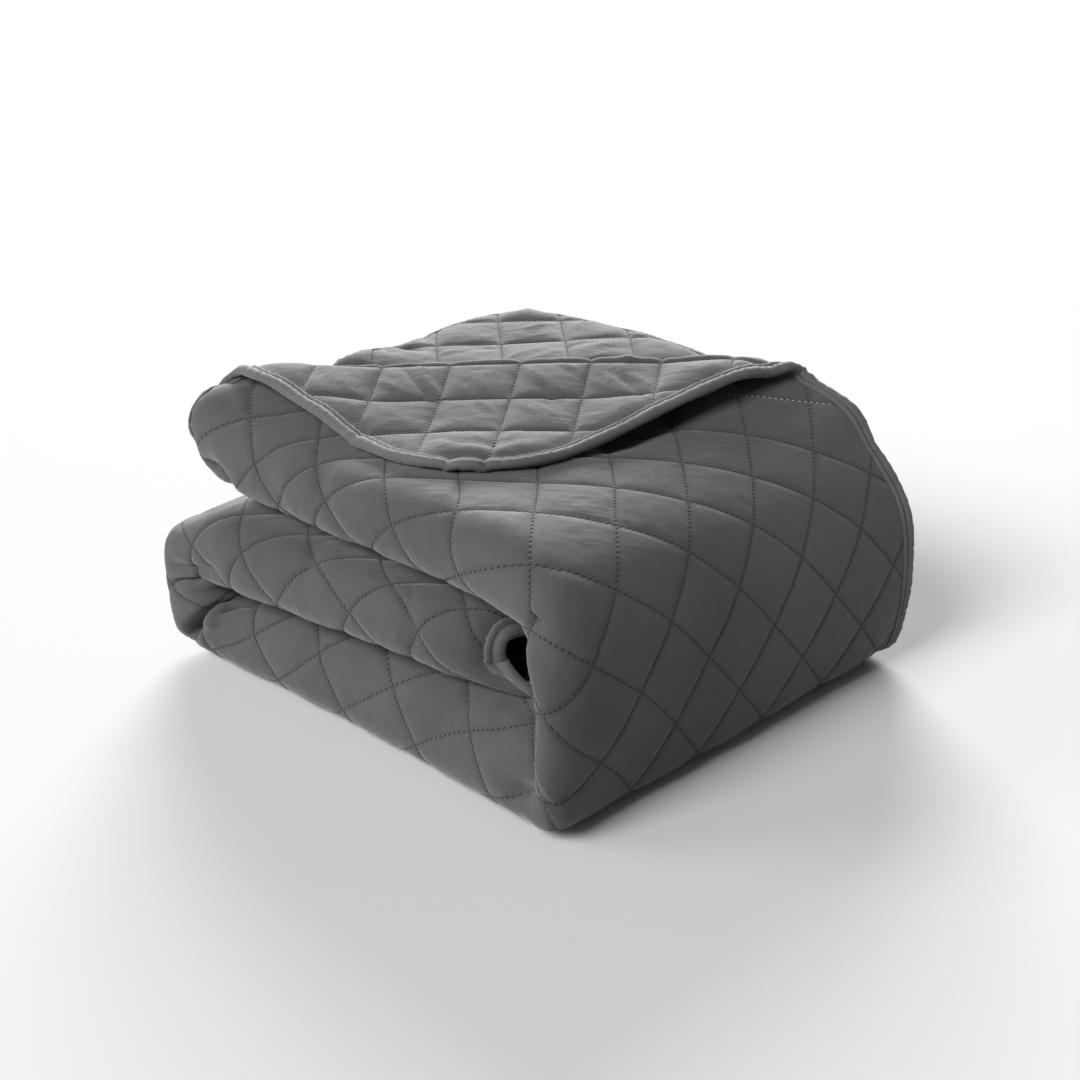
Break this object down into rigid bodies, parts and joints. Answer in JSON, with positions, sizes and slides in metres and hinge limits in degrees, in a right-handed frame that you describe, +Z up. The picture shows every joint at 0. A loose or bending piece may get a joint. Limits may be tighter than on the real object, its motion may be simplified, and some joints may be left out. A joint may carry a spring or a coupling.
{
  "type": "folded quilted bedspread",
  "caption": "Quilted bedspread folded into a soft pile, its layers rolled at the front and one bound corner turned back on top.",
  "frame": {"origin": "middle of the folded pile's box, on the surface it rests on", "axes": "+Z up; -Y is the front, where the layers turn in soft rolls; +X is the side where the outer layer runs up over the pile"},
  "size_m": [0.5335, 0.5109, 0.2676],
  "materials": {
    "quilted_cloth": "brushed microfibre cloth, diamond quilted, soft matt sheen",
    "binding_cloth": "narrow strip of the same cloth folded over the edge, stitched"
  },
  "bodies": {
    "root": {"quilt": "quilted_cloth", "binding": "binding_cloth"}
  },
  "joints": []
}
